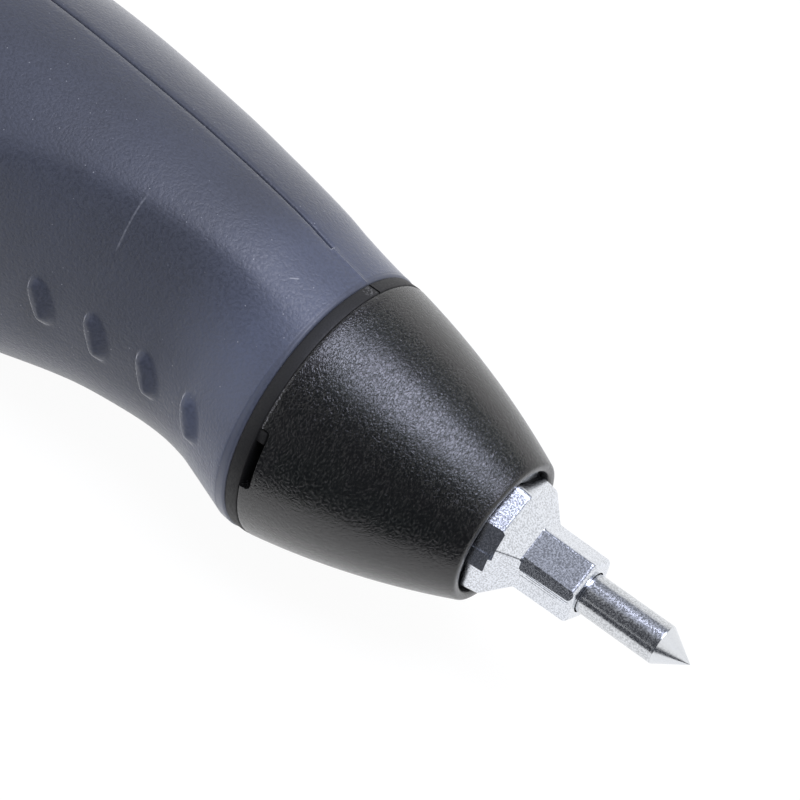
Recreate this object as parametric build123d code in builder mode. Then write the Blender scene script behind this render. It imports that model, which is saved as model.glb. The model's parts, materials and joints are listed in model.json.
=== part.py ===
from build123d import *
import os
from math import cos, hypot, radians, sin, sqrt

os.makedirs("parts", exist_ok=True)

# Hand held electric engraver. Millimetres. +X runs along the tool axis to the tip, +Z is up, and the housing
# halves meet in the plane Y = 0. The origin is on the axis, where the point leaves its holder.

# Clearances
running_gap = 0.05
point_gap = 0.01
fit_gap = 0.1
free_gap = 0.3

# Engraving point
shank_radius = 2.0
shank_out = 8.3
shank_in = 12.0
shank_relief = 0.5
cone_length = 3.0

# Bit holder
neck_flats = 5.9
neck_length = 6.0
taper_length = 2.2
flange_flats = 10.0
flange_length = 3.6
stem_radius = 4.4
stem_length = 9.0
facet_tilt = 48.0
edge_round = 0.5
set_screw_radius = 1.25
set_screw_setback = 3.0
set_screw_length = 1.9
set_screw_drive = 0.65

# Striker rod and plunger
rod_radius = 3.0
rod_grip = 7.0
collar_radius = 6.0
collar_length = 3.5
plunger_radius = 5.3
plunger_length = 27.0
stroke = 1.2
stroke_margin = 0.4

# Nose cone
lip_setback = 9.6
lip_radius = 7.4
lip_wall = 0.9
nose_length = 20.9
nose_radius = 13.85
nose_bulge = 0.7
socket_radius = 10.9
socket_depth = 6.0
socket_step = 0.5
lip_round = 0.4
twist_range = 19.0
notch_depth = 1.0
notch_middle = -0.35
notch_spread = 26.1
tab_spread = 5.7
tab_gap = 0.3

# Bearing carrier
ring_width = 1.5
spigot_radius = 9.0
spigot_length = 9.0
keeper_setback = 4.0
keeper_width = 2.0
keeper_depth = 1.4
key_width = 3.0
key_height = 1.2
key_length = 3.5
lug_height = 0.8
lug_width = 2.0
lug_setback = 2.4
lug_spread = 16.0
entry_play = 1.5
hub_radius = 6.2
hub_lip = 1.0
spigot_wall = 1.7
bush_radius = 4.5
bush_length = 13.0
bumper_length = 2.5
bumper_radius = 7.0

# Housing skin: setback behind the front edge, radius over the top, radius under the flanks
front_edge = (0.0, 14.05, 14.05)
flare = (3.6, 15.0, 12.2)
waist = (10.5, 16.4, 11.05)
grip = (20.5, 17.9, 11.85)
shoulder = (36.0, 19.5, 15.6)
belly = (62.0, 20.6, 18.2)
saddle = (98.0, 18.6, 16.4)
heel = (122.0, 16.5, 15.2)
heel_turn = (129.5, 14.0, 13.4)
tail = (133.0, 11.0, 10.8)
stations = [front_edge, flare, waist, grip, shoulder, belly, saddle, heel, heel_turn, tail]
crease_angle = 35.0
flank_angle = 105.0
section_steps = 12
wall = 2.2
rear_wall = 3.0
front_bore_depth = 10.0
rest_drop = 16.5
seam_gap = 0.25
seam_start = 3.9
rib_reach = 30.0

# Grip nubs on both flanks
nub_count = 5
nub_first = 5.95
nub_spacing = 5.7
nub_length = 5.8
nub_width = 2.8
nub_proud = 0.7
nub_sunk = 0.8
nub_taper = 25.0
nub_slant = 18.0
nub_drop = 0.6
nub_climb = 0.3

# Magnet
magnet_setback = 38.0
plate_thickness = 2.5
plate_margin = 0.2
plate_ledge = 0.9
rib_width = 2.0
bobbin_length = 27.5
bobbin_wall = 0.8
bobbin_flange = 1.6
bobbin_radius = 10.6
winding_margin = 0.6
stack_thickness = 1.8
stack_height = 7.0
pole_length = 11.5
pole_bore = 3.6

# Return spring and its seat
spring_radius = 2.3
spring_wire = 0.45
spring_pocket = 5.0
spring_pitch = 2.8
seat_setback = 80.0
seat_radius = 5.6
seat_thickness = 2.5
shank_margin = 0.2
seat_stub = 4.0
thread_radius = 4.0
thread_past = 4.5

# Stroke wheel
wheel_setback = 93.4
wheel_radius = 13.8
wheel_width = 9.0
wheel_ribs = 24
wheel_groove = 0.6
wheel_round = 0.6
wheel_journal = 6.0
wheel_rib = 3.0
wheel_pitch = 1.5
wheel_range = 300.0
washer_thickness = 0.5
washer_radius = 10.0
washer_play = 0.4
scallop_radius = 30.0
scallop_floor = 12.4
scallop_wall = 1.6

# Switch
switch_setback = 73.5
switch_length = 15.0
switch_width = 9.0
switch_bottom = 8.5
switch_height = 6.0
cradle_depth = 2.5
cradle_bottom = 10.5
cradle_half = 5.7
slide_travel = 4.0
knob_length = 12.0
knob_width = 8.4
knob_height = 2.3
knob_floor = 18.2
knob_gap = 0.2
knob_pad = 1.8
knob_ridges = 4
ridge_radius = 0.5
ridge_inset = 1.0
knob_corner = 1.0
knob_round = 0.5
neck_width = 3.0
neck_run = 4.0
neck_depth = 2.0
blade_thickness = 0.8
blade_height = 1.6
blade_out = 3.1
blade_front = 6.6
blade_rear = 8.6

# Leads
lead_radius = 0.8
lead_side = 6.6
lead_over_wheel = 13.5
lead_channel = 1.15
pin_radius = 0.6
pin_height = 7.0
pin_out = 5.0
cap_radius = 1.9
cap_length = 4.6
cap_height = 10.2
cap_setback = 110.4
lead_bend = 2.0
lead_straight = 1.0

# Cord inlet and clamp
bush_flange_radius = 7.5
bush_neck_radius = 6.0
bush_flange_width = 2.0
cord_radius = 3.2
clamp_setback = 122.5
clamp_width = 5.0
clamp_thickness = 4.0
clamp_reach = 8.4
clamp_split = 1.0
clamp_screw_offset = 5.8

# Screws
screw_radius = 1.5
screw_head_radius = 2.7
screw_head_height = 2.2
screw_seat = 6.0
screw_length = 11.0
boss_radius = 3.0
tower_wall = 1.2
tower_floor = 1.5
screw_gap = 0.2
clamp_screw_radius = 1.1
clamp_head_radius = 2.0
clamp_head_height = 1.4
clamp_screw_grip = 4.0
drive_depth = 1.0
drive_width = 0.7
drive_span = 3.8
front_screw = (20.0, 10.6)
belly_screw = (76.5, -11.0)
upper_screw = (119.5, 8.6)
lower_screw = (119.5, -9.0)

# Stations along the axis that follow from the sizes above
tail_radius = shank_radius - shank_relief
flange_front = -(neck_length + taper_length)
flange_rear = flange_front - flange_length
stem_rear = flange_rear - stem_length
lip_x = -lip_setback
seam_x = lip_x - nose_length
front_x = seam_x - ring_width
spigot_rear = front_x - spigot_length
bumper_rear = spigot_rear - bumper_length
rear_x = front_x - tail[0]
magnet_front = front_x - magnet_setback
stack_inner = bobbin_radius + free_gap
stack_outer = stack_inner + stack_thickness
plate_radius = hypot(stack_outer, stack_height / 2) + plate_margin
bobbin_front = magnet_front - plate_thickness
bobbin_rear = bobbin_front - bobbin_length
magnet_rear = bobbin_rear - plate_thickness
pole_front = magnet_rear + pole_length
plunger_rear = pole_front + stroke + stroke_margin
plunger_front = plunger_rear + plunger_length
seat_front = front_x - seat_setback
wheel_front = front_x - wheel_setback
wheel_rear = wheel_front - wheel_width
wheel_middle = (wheel_front + wheel_rear) / 2
washer_front = wheel_front + fit_gap + washer_thickness
front_rib_front = washer_front + wheel_rib
rear_rib_front = wheel_rear - fit_gap
rear_rib_rear = rear_rib_front - wheel_rib
switch_front = front_x - switch_setback
switch_rear = switch_front - switch_length
switch_top = switch_bottom + switch_height
switch_middle = (switch_front + switch_rear) / 2
knob_middle = switch_middle - slide_travel / 2
blade_z = switch_bottom + blade_height / 2 + fit_gap
seat_square = 2 * (thread_radius + shank_margin)
seat_travel = wheel_pitch * wheel_range / 360 / 2
shank_rear = washer_front + seat_travel + free_gap
pin_rear = magnet_rear - pin_out
cap_front = front_x - cap_setback
clamp_front = front_x - clamp_setback
clamp_rear = clamp_front - clamp_width
screw_places = [(front_x - back, up) for back, up in (front_screw, belly_screw, upper_screw, lower_screw)]


# Plane square to the tool axis
def across(x):
    return Plane.YZ.offset(x)


# Round bar or hole along the tool axis
def disc(front, rear, radius, mode=Mode.ADD):
    with BuildSketch(across(rear)) as end:
        Circle(radius)
    extrude(end.sketch, amount=front - rear, mode=mode)


# Flat ring along the tool axis
def ring(front, rear, outer, inner, mode=Mode.ADD):
    with BuildSketch(across(rear)) as end:
        Circle(outer)
        Circle(inner, mode=Mode.SUBTRACT)
    extrude(end.sketch, amount=front - rear, mode=mode)


# Part of a ring, its angles counted from +Y towards +Z
def sector(front, rear, outer, inner, middle, spread, mode=Mode.ADD):
    start = middle - spread / 2
    stop = middle + spread / 2
    with BuildSketch(across(rear)) as end:
        with BuildLine():
            CenterArc((0, 0), outer, start, spread)
            CenterArc((0, 0), inner, start, spread)
            for angle in (start, stop):
                turn = (cos(radians(angle)), sin(radians(angle)))
                Line((inner * turn[0], inner * turn[1]), (outer * turn[0], outer * turn[1]))
        make_face()
    extrude(end.sketch, amount=front - rear, mode=mode)


# Upright box from its two ends along the axis, half widths to both sides and two heights
def block(front, rear, left, right, bottom, top, mode=Mode.ADD):
    with BuildSketch(Plane.XY.offset(bottom)) as base:
        with Locations(((front + rear) / 2, (left + right) / 2)):
            Rectangle(front - rear, right - left)
    extrude(base.sketch, amount=top - bottom, mode=mode)


# Pins or holes along Y at places given as (x, z), from one Y to another
def cross_pins(places, radius, near, far, mode=Mode.ADD):
    with BuildSketch(Plane.XZ.offset(-far)) as ends:
        with Locations(*places):
            Circle(radius)
    extrude(ends.sketch, amount=far - near, mode=mode)


# Round lead swept along straight runs joined by arcs
def lead(points, bend):
    with BuildLine() as route:
        FilletPolyline(*points, radius=bend)
    with BuildSketch(Plane(origin=route.line @ 0, z_dir=route.line % 0)) as end:
        Circle(lead_radius)
    sweep(end.sketch, path=route.line)


# Half outline of the skin at one station, pulled in by the inset
def half_section(side, station, inset):
    setback, over, under = station
    points = []
    for step in range(section_steps + 1):
        turn = 180 * step / section_steps
        fade = min(max((turn - crease_angle) / (flank_angle - crease_angle), 0), 1)
        radius = under + (over - under) * (1 - fade) ** 2 - inset
        points.append((side * radius * sin(radians(turn)), radius * cos(radians(turn))))
    with BuildSketch(across(front_x - setback)) as section:
        with BuildLine():
            Spline(*points, tangents=[(side, 0), (-side, 0)])
            Line(points[-1], points[0])
        make_face()
    return section.sketch


# Thumb hollows in both flanks beside the stroke wheel
def scallops(radius):
    for side in (-1, 1):
        with BuildSketch(Plane.XY.offset(-rib_reach)) as hollow:
            with Locations((wheel_middle, side * (scallop_floor + scallop_radius))):
                Circle(radius)
        extrude(hollow.sketch, amount=2 * rib_reach, mode=Mode.SUBTRACT)


# Engraving point: round shank with a ground cone, its tail eased for the holder
with BuildPart() as engraving_point:
    with BuildSketch(Plane.XY):
        with BuildLine():
            Polyline(
                (-shank_in, 0),
                (-shank_in, tail_radius),
                (0, tail_radius),
                (0, shank_radius),
                (shank_out, shank_radius),
                (shank_out + cone_length, 0),
                close=True,
            )
        make_face()
    revolve(axis=Axis.X)
engraving_point.part.label = "engraving_point"
export_step(engraving_point.part, "parts/engraving_point.step")

# Bit holder: hexagon neck, pyramid taper, hexagon flange and round stem
facet_turn = 180 - facet_tilt
away = (0, cos(radians(facet_tilt)), -sin(radians(facet_tilt)))
set_screw_plane = Plane(origin=(-set_screw_setback, 0, 0), x_dir=(1, 0, 0), z_dir=away)
with BuildPart() as bit_holder:
    with BuildSketch(across(-neck_length)) as neck_end:
        RegularPolygon(neck_flats / 2, 6, major_radius=False, rotation=facet_turn)
    extrude(neck_end.sketch, amount=neck_length)
    fillet(bit_holder.faces().sort_by(Axis.X)[-1].edges(), edge_round)
    with BuildSketch(across(flange_front)) as taper_base:
        RegularPolygon(flange_flats / 2, 6, major_radius=False, rotation=facet_turn)
    loft([taper_base.sketch, neck_end.sketch])
    extrude(taper_base.sketch, amount=-flange_length)
    disc(flange_rear, stem_rear, stem_radius)
    disc(0, -shank_in, tail_radius + point_gap, mode=Mode.SUBTRACT)
    disc(stem_rear + rod_grip, stem_rear, rod_radius, mode=Mode.SUBTRACT)
    with BuildSketch(set_screw_plane) as set_screw_hole:
        Circle(set_screw_radius)
    extrude(set_screw_hole.sketch, amount=neck_flats, mode=Mode.SUBTRACT)
bit_holder.part.label = "bit_holder"
export_step(bit_holder.part, "parts/bit_holder.step")

# Grub screw that holds the point, with a hexagon drive
with BuildPart() as point_set_screw:
    with BuildSketch(set_screw_plane.offset(tail_radius)):
        Circle(set_screw_radius)
    extrude(amount=set_screw_length)
    with BuildSketch(set_screw_plane.offset(tail_radius + set_screw_length)):
        RegularPolygon(set_screw_drive, 6, major_radius=False)
    extrude(amount=-set_screw_length / 2, mode=Mode.SUBTRACT)
point_set_screw.part.label = "point_set_screw"
export_step(point_set_screw.part, "parts/point_set_screw.step")

# Striker rod from the bit holder to the plunger
with BuildPart() as striker_rod:
    disc(stem_rear + rod_grip, plunger_front - rod_grip, rod_radius)
striker_rod.part.label = "striker_rod"
export_step(striker_rod.part, "parts/striker_rod.step")

# Stop collar that ends the forward stroke
with BuildPart() as stop_collar:
    ring(bumper_rear, bumper_rear - collar_length, collar_radius, rod_radius)
stop_collar.part.label = "stop_collar"
export_step(stop_collar.part, "parts/stop_collar.step")

# Plunger with the rod's seat in front and the spring's pocket behind
with BuildPart() as plunger:
    disc(plunger_front, plunger_rear, plunger_radius)
    disc(plunger_front, plunger_front - rod_grip, rod_radius, mode=Mode.SUBTRACT)
    pocket_radius = spring_radius + spring_wire + free_gap
    disc(plunger_rear + spring_pocket, plunger_rear, pocket_radius, mode=Mode.SUBTRACT)
plunger.part.label = "plunger"
export_step(plunger.part, "parts/plunger.step")

# Nose cone: convex shell with a bayonet groove, its entry slots and the notch in the rear edge
groove_radius = socket_radius + lug_height + fit_gap
lug_front = seam_x + lug_setback + lug_width
lug_rear = seam_x + lug_setback
lug_angles = (90, 270)
nose_middle = (seam_x + lip_x) / 2
lip_bore = lip_radius - lip_wall
shelf_x = seam_x + socket_depth
shelf_radius = socket_radius - socket_step
with BuildPart() as nose_cone:
    with BuildSketch(Plane.XY):
        with BuildLine():
            Line((seam_x, socket_radius), (seam_x, nose_radius))
            ThreePointArc(
                (seam_x, nose_radius),
                (nose_middle, (nose_radius + lip_radius) / 2 + nose_bulge),
                (lip_x, lip_radius),
            )
            Line((lip_x, lip_radius), (lip_x, lip_bore))
            ThreePointArc(
                (lip_x, lip_bore),
                ((lip_x + shelf_x) / 2, (lip_bore + shelf_radius) / 2 + nose_bulge / 2),
                (shelf_x, shelf_radius),
            )
            Line((shelf_x, shelf_radius), (shelf_x, socket_radius))
            Line((shelf_x, socket_radius), (seam_x, socket_radius))
        make_face()
    revolve(axis=Axis.X)
    fillet(nose_cone.faces().sort_by(Axis.X)[-1].edges(), lip_round)
    disc(lug_front + fit_gap, lug_rear - fit_gap, groove_radius, mode=Mode.SUBTRACT)
    for angle in lug_angles:
        entry = angle + twist_range
        entry_spread = lug_spread + entry_play
        sector(lug_rear, seam_x, groove_radius, shelf_radius, entry, entry_spread, mode=Mode.SUBTRACT)
    notch_turn = 180 - notch_middle
    notch_front = seam_x + notch_depth
    sector(notch_front, seam_x, nose_radius + wall, shelf_radius, notch_turn, notch_spread, mode=Mode.SUBTRACT)
nose_cone.part.label = "nose_cone"
export_step(nose_cone.part, "parts/nose_cone.step")

# Bearing carrier: collar ring, rear spigot in the housing, front spigot with bayonet lugs, hub and tab
hub_front = spigot_rear + bush_length + hub_lip
spigot_front = shelf_x - free_gap
front_spigot_radius = socket_radius - running_gap
front_spigot_bore = front_spigot_radius - spigot_wall
keeper_front = front_x - keeper_setback
keeper_rear = keeper_front - keeper_width
keeper_radius = spigot_radius - keeper_depth
tab_turn = 180 - notch_middle - (notch_spread - tab_spread) / 2
with BuildPart() as bearing_carrier:
    disc(seam_x, front_x, nose_radius)
    disc(front_x, spigot_rear, spigot_radius)
    ring(spigot_front, seam_x, front_spigot_radius, front_spigot_bore)
    disc(max(hub_front, seam_x), seam_x, hub_radius)
    ring(keeper_front, keeper_rear, spigot_radius + wall, keeper_radius, mode=Mode.SUBTRACT)
    for angle in lug_angles:
        sector(lug_front, lug_rear, socket_radius + lug_height, front_spigot_bore, angle, lug_spread)
    sector(
        seam_x + notch_depth - fit_gap,
        seam_x - ring_width,
        nose_radius - free_gap,
        socket_radius + fit_gap,
        tab_turn + tab_gap,
        tab_spread - 2 * tab_gap,
    )
    key_root = spigot_radius - key_height
    key_top = spigot_radius + key_height
    for bottom, top in ((-key_top, -key_root), (key_root, key_top)):
        block(front_x, front_x - key_length, -key_width / 2, key_width / 2, bottom, top)
    disc(spigot_rear + bush_length, spigot_rear, bush_radius, mode=Mode.SUBTRACT)
    disc(hub_front, spigot_rear, rod_radius + free_gap, mode=Mode.SUBTRACT)
bearing_carrier.part.label = "bearing_carrier"
export_step(bearing_carrier.part, "parts/bearing_carrier.step")

# Sintered bush pressed in the carrier's hub
with BuildPart() as front_bush:
    ring(spigot_rear + bush_length, spigot_rear, bush_radius, rod_radius + running_gap)
front_bush.part.label = "front_bush"
export_step(front_bush.part, "parts/front_bush.step")

# Rubber ring that the stop collar lands on
with BuildPart() as front_bumper:
    ring(spigot_rear, bumper_rear, bumper_radius, rod_radius + free_gap)
front_bumper.part.label = "front_bumper"
export_step(front_bumper.part, "parts/front_bumper.step")

# Sizes of the hollow and of its seats
plate_room = plate_radius + fit_gap
plate_seat = plate_radius - plate_ledge
tower_radius = screw_head_radius + free_gap + tower_wall
channel_ends = [(side * lead_side, lead_over_wheel) for side in (-1, 1)]
switch_room = switch_width / 2 + fit_gap
window = seat_square / 2 + fit_gap
saddle_reach = clamp_reach + free_gap
bore_radius = spigot_radius + fit_gap
key_room = key_width / 2 + fit_gap
key_reach = spigot_radius + key_height + fit_gap
room_front = switch_front + fit_gap
room_rear = switch_rear - fit_gap
knob_room = knob_length / 2 + slide_travel / 2 + free_gap
recess_front = switch_middle + knob_room
recess_rear = switch_middle - knob_room
slot_room = neck_run / 2 + slide_travel / 2 + free_gap
slot_front = switch_middle + slot_room
slot_rear = switch_middle - slot_room
knob_side = knob_width / 2 + free_gap
neck_side = neck_width / 2 + free_gap
clamp_middle = (clamp_front + clamp_rear) / 2
clamp_places = [(clamp_middle, side * clamp_screw_offset) for side in (-1, 1)]
cut = Mode.SUBTRACT

# Half shells, parted in the plane Y = 0
for side, facing, name in ((-1, 180, "housing_left"), (1, 0, "housing_right")):
    # Hollow of this half, with the ribs, bosses and seats that reach into it left out
    with BuildPart() as hollow:
        loft([half_section(side, station, wall) for station in stations])
        scallops(scallop_radius + scallop_wall)
        block(front_x, rear_x, -rib_reach, rib_reach, -rib_reach, wall - rest_drop, mode=cut)
        disc(front_x, front_x - front_bore_depth, rib_reach, mode=cut)
        disc(rear_x + rear_wall, rear_x, rib_reach, mode=cut)
        ring(magnet_front + rib_width, magnet_front, rib_reach, plate_seat, mode=cut)
        ring(magnet_front, bobbin_front, rib_reach, plate_room, mode=cut)
        ring(bobbin_rear, magnet_rear, rib_reach, plate_room, mode=cut)
        ring(magnet_rear, magnet_rear - rib_width, rib_reach, plate_seat, mode=cut)
        disc(front_rib_front, washer_front, rib_reach, mode=cut)
        disc(rear_rib_front, rear_rib_rear, rib_reach, mode=cut)
        cross_pins(screw_places, boss_radius, -rib_reach, rib_reach, mode=cut)
        cross_pins(screw_places, tower_radius, screw_seat - tower_floor, rib_reach, mode=cut)
        for cradle_front, cradle_rear, bottom in (
            (magnet_rear - rib_width, switch_front - cradle_depth, cradle_bottom),
            (switch_front, switch_rear, knob_floor - knob_pad),
            (switch_rear + cradle_depth, front_rib_front, cradle_bottom),
        ):
            block(cradle_front, cradle_rear, -cradle_half, cradle_half, bottom, rib_reach, mode=cut)
        block(clamp_front, clamp_rear, clamp_split, rib_reach, -saddle_reach, saddle_reach, mode=cut)

    # Shell of this half
    with BuildPart() as half:
        loft([half_section(side, station, 0) for station in stations])
        flank = half.faces().sort_by(SortBy.AREA)[-1]
        scallops(scallop_radius)
        block(front_x, rear_x, -rib_reach, rib_reach, -rib_reach, -rest_drop, mode=cut)
        add(hollow.part, mode=cut)
        disc(front_x, front_x - front_bore_depth, bore_radius, mode=cut)
        sector(keeper_front - fit_gap, keeper_rear + fit_gap, bore_radius, keeper_radius + fit_gap, facing, 180)
        block(front_x, front_x - key_length - fit_gap, -key_room, key_room, -key_reach, key_reach, mode=cut)
        disc(wheel_front + fit_gap, wheel_rear - fit_gap, wheel_radius + free_gap, mode=cut)
        block(front_rib_front, washer_front, -window, window, -window, window, mode=cut)
        disc(rear_rib_front, rear_rib_rear, wheel_journal + running_gap, mode=cut)
        disc(rear_x + rear_wall, rear_x, bush_neck_radius, mode=cut)
        disc(clamp_front, clamp_rear, cord_radius, mode=cut)
        with BuildSketch(across(rear_rib_rear)) as channels:
            with Locations(*channel_ends):
                Circle(lead_channel)
        extrude(channels.sketch, amount=front_rib_front - rear_rib_rear, mode=cut)
        block(room_front, room_rear, -switch_room, switch_room, switch_bottom, switch_top + fit_gap, mode=cut)
        block(recess_front, recess_rear, -knob_side, knob_side, knob_floor, rib_reach, mode=cut)
        block(slot_front, slot_rear, -neck_side, neck_side, switch_top, rib_reach, mode=cut)
        cross_pins(screw_places, screw_radius, screw_seat - screw_length - free_gap, 0, mode=cut)
        cross_pins(screw_places, screw_radius + screw_gap, 0, screw_seat, mode=cut)
        cross_pins(screw_places, screw_head_radius + free_gap, screw_seat, rib_reach, mode=cut)
        cross_pins(clamp_places, clamp_screw_radius, clamp_split, clamp_screw_grip, mode=cut)
        for number in range(nub_count):
            nub_x = front_x - nub_first - number * nub_spacing
            nub_z = number * nub_climb - nub_drop
            reach = Axis((nub_x, 0, nub_z), (0, side, 0))
            skin_y = max(point.Y * side for point, normal in flank.find_intersection_points(reach))
            root = (nub_x, side * (skin_y - nub_sunk), nub_z)
            lower = Vector(0, side * nub_length / 2).rotate(Axis.Z, -side * nub_slant)
            broad = Vector(nub_width / 2, 0).rotate(Axis.Z, -side * nub_slant)
            with BuildSketch(Plane(origin=root, x_dir=(1, 0, 0), z_dir=(0, side, 0))) as leaf:
                with BuildLine():
                    ThreePointArc(lower, broad, -lower)
                    ThreePointArc(-lower, -broad, lower)
                make_face()
            extrude(leaf.sketch, amount=nub_sunk + nub_proud, taper=nub_taper)
        block(front_x - seam_start, rear_x, -seam_gap / 2, seam_gap / 2, -rib_reach, rib_reach, mode=cut)
    half.part.label = name
    export_step(half.part, f"parts/{name}.step")

# Magnet plates, notched for the side stacks
pole_radius = plunger_radius + free_gap - fit_gap


# Stacks at both sides of the winding, or the notches that take them
def side_stacks(front, rear, reach, mode=Mode.ADD):
    for low, high in ((-reach, -stack_inner), (stack_inner, reach)):
        block(front, rear, low, high, -stack_height / 2, stack_height / 2, mode=mode)


with BuildPart() as yoke_front_plate:
    ring(magnet_front, bobbin_front, plate_radius, plunger_radius + free_gap)
    side_stacks(magnet_front, bobbin_front, plate_room, mode=cut)
yoke_front_plate.part.label = "yoke_front_plate"
export_step(yoke_front_plate.part, "parts/yoke_front_plate.step")

pin_ends = [(side * lead_side, pin_height) for side in (-1, 1)]
with BuildPart() as yoke_rear_plate:
    ring(bobbin_rear, magnet_rear, plate_radius, pole_radius)
    side_stacks(bobbin_rear, magnet_rear, plate_room, mode=cut)
    with BuildSketch(across(magnet_rear)) as pin_holes:
        with Locations(*pin_ends):
            Circle(pin_radius + lead_radius)
    extrude(pin_holes.sketch, amount=plate_thickness, mode=cut)
yoke_rear_plate.part.label = "yoke_rear_plate"
export_step(yoke_rear_plate.part, "parts/yoke_rear_plate.step")

# Sheet stacks that tie the two plates together
with BuildPart() as yoke_side_stacks:
    side_stacks(magnet_front, magnet_rear, stack_outer)
yoke_side_stacks.part.label = "yoke_side_stacks"
export_step(yoke_side_stacks.part, "parts/yoke_side_stacks.step")

# Hollow pole piece behind the plunger
with BuildPart() as pole_piece:
    ring(pole_front, magnet_rear, pole_radius, pole_bore)
pole_piece.part.label = "pole_piece"
export_step(pole_piece.part, "parts/pole_piece.step")

# Coil bobbin with its two terminal pins and the winding
bobbin_bore = plunger_radius + free_gap
tube_radius = bobbin_bore + bobbin_wall
with BuildPart() as coil_bobbin:
    ring(bobbin_front, bobbin_rear, tube_radius, bobbin_bore)
    ring(bobbin_front, bobbin_front - bobbin_flange, bobbin_radius, bobbin_bore)
    ring(bobbin_rear + bobbin_flange, bobbin_rear, bobbin_radius, bobbin_bore)
    with BuildSketch(across(bobbin_rear)) as pin_seats:
        with Locations(*pin_ends):
            Circle(pin_radius)
    extrude(pin_seats.sketch, amount=bobbin_flange, mode=cut)
coil_bobbin.part.label = "coil_bobbin"
export_step(coil_bobbin.part, "parts/coil_bobbin.step")

with BuildPart() as coil_winding:
    ring(bobbin_front - bobbin_flange, bobbin_rear + bobbin_flange, bobbin_radius - winding_margin, tube_radius)
coil_winding.part.label = "coil_winding"
export_step(coil_winding.part, "parts/coil_winding.step")

with BuildPart() as coil_terminals:
    with BuildSketch(across(pin_rear)) as pins:
        with Locations(*pin_ends):
            Circle(pin_radius)
    extrude(pins.sketch, amount=bobbin_rear + bobbin_flange - pin_rear)
coil_terminals.part.label = "coil_terminals"
export_step(coil_terminals.part, "parts/coil_terminals.step")

# Return spring between the plunger's pocket and its seat
spring_front = plunger_rear + spring_pocket
spring_run = spring_front - seat_front - 2 * spring_wire
with BuildPart() as return_spring:
    with BuildLine() as coil:
        Helix(
            pitch=spring_pitch,
            height=spring_run,
            radius=spring_radius,
            center=(seat_front + spring_wire, 0, 0),
            direction=(1, 0, 0),
        )
    with BuildSketch(Plane(origin=coil.line @ 0, z_dir=coil.line % 0)):
        Circle(spring_wire)
    sweep(path=coil.line, is_frenet=True)
return_spring.part.label = "return_spring"
export_step(return_spring.part, "parts/return_spring.step")

# Spring seat: disc with a stub for the spring, square shank in its guide and threaded stem
with BuildPart() as spring_seat:
    disc(seat_front, seat_front - seat_thickness, seat_radius)
    disc(seat_front + seat_stub, seat_front, spring_radius - spring_wire - free_gap)
    half_square = seat_square / 2
    block(seat_front - seat_thickness, shank_rear, -half_square, half_square, -half_square, half_square)
    disc(shank_rear, wheel_rear - thread_past, thread_radius)
spring_seat.part.label = "spring_seat"
export_step(spring_seat.part, "parts/spring_seat.step")

# Stroke wheel with a grooved rim, the nut's bore and a journal in the rear rib
with BuildPart() as stroke_wheel:
    disc(wheel_front, wheel_rear, wheel_radius)
    fillet(stroke_wheel.edges(), wheel_round)
    disc(wheel_rear, wheel_rear - wheel_rib + free_gap, wheel_journal)
    with BuildSketch(across(wheel_rear)) as grooves:
        with PolarLocations(wheel_radius, wheel_ribs):
            Circle(wheel_groove)
    extrude(grooves.sketch, amount=wheel_width, mode=cut)
    disc(wheel_front, rear_rib_rear, thread_radius + running_gap, mode=cut)
stroke_wheel.part.label = "stroke_wheel"
export_step(stroke_wheel.part, "parts/stroke_wheel.step")

# Thrust washer between the wheel and the rib in front of it
with BuildPart() as thrust_washer:
    ring(washer_front, washer_front - washer_thickness, washer_radius, seat_square / sqrt(2) + washer_play)
thrust_washer.part.label = "thrust_washer"
export_step(thrust_washer.part, "parts/thrust_washer.step")

# Switch body with the slot for the slider's neck, and two solder blades
neck_bottom = switch_top - neck_depth
with BuildPart() as switch_body:
    half_width = switch_width / 2
    block(switch_front, switch_rear, -half_width, half_width, switch_bottom, switch_top)
    block(slot_front, slot_rear, -neck_side, neck_side, neck_bottom - free_gap, switch_top, mode=cut)
switch_body.part.label = "switch_body"
export_step(switch_body.part, "parts/switch_body.step")

blade_side = -switch_width / 2
blade_bottom = blade_z - blade_height / 2
blade_top = blade_z + blade_height / 2
with BuildPart() as switch_terminals:
    for setback in (blade_front, blade_rear):
        blade_x = switch_front - setback
        block(blade_x, blade_x - blade_thickness, blade_side - blade_out, blade_side, blade_bottom, blade_top)
switch_terminals.part.label = "switch_terminals"
export_step(switch_terminals.part, "parts/switch_terminals.step")

# Thumb slider with ridges on top and a neck down to the switch
knob_bottom = knob_floor + knob_gap
knob_top = knob_bottom + knob_height
with BuildPart() as switch_slider:
    knob_front = knob_middle + knob_length / 2
    knob_rear = knob_middle - knob_length / 2
    block(knob_front, knob_rear, -knob_width / 2, knob_width / 2, knob_bottom, knob_top)
    fillet(switch_slider.edges().filter_by(Axis.Z), knob_corner)
    fillet(switch_slider.faces().sort_by(Axis.Z)[-1].edges(), knob_round)
    ridge_step = knob_length / (knob_ridges + 2)
    with BuildSketch(Plane.XZ.offset(ridge_inset - knob_width / 2)) as ridges:
        with Locations((knob_middle, knob_top)):
            with GridLocations(ridge_step, 0, knob_ridges, 1):
                Circle(ridge_radius)
    extrude(ridges.sketch, amount=knob_width - 2 * ridge_inset)
    neck_front = knob_middle + neck_run / 2
    neck_rear = knob_middle - neck_run / 2
    block(neck_front, neck_rear, -neck_width / 2, neck_width / 2, neck_bottom, knob_bottom)
switch_slider.part.label = "switch_slider"
export_step(switch_slider.part, "parts/switch_slider.step")

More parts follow.
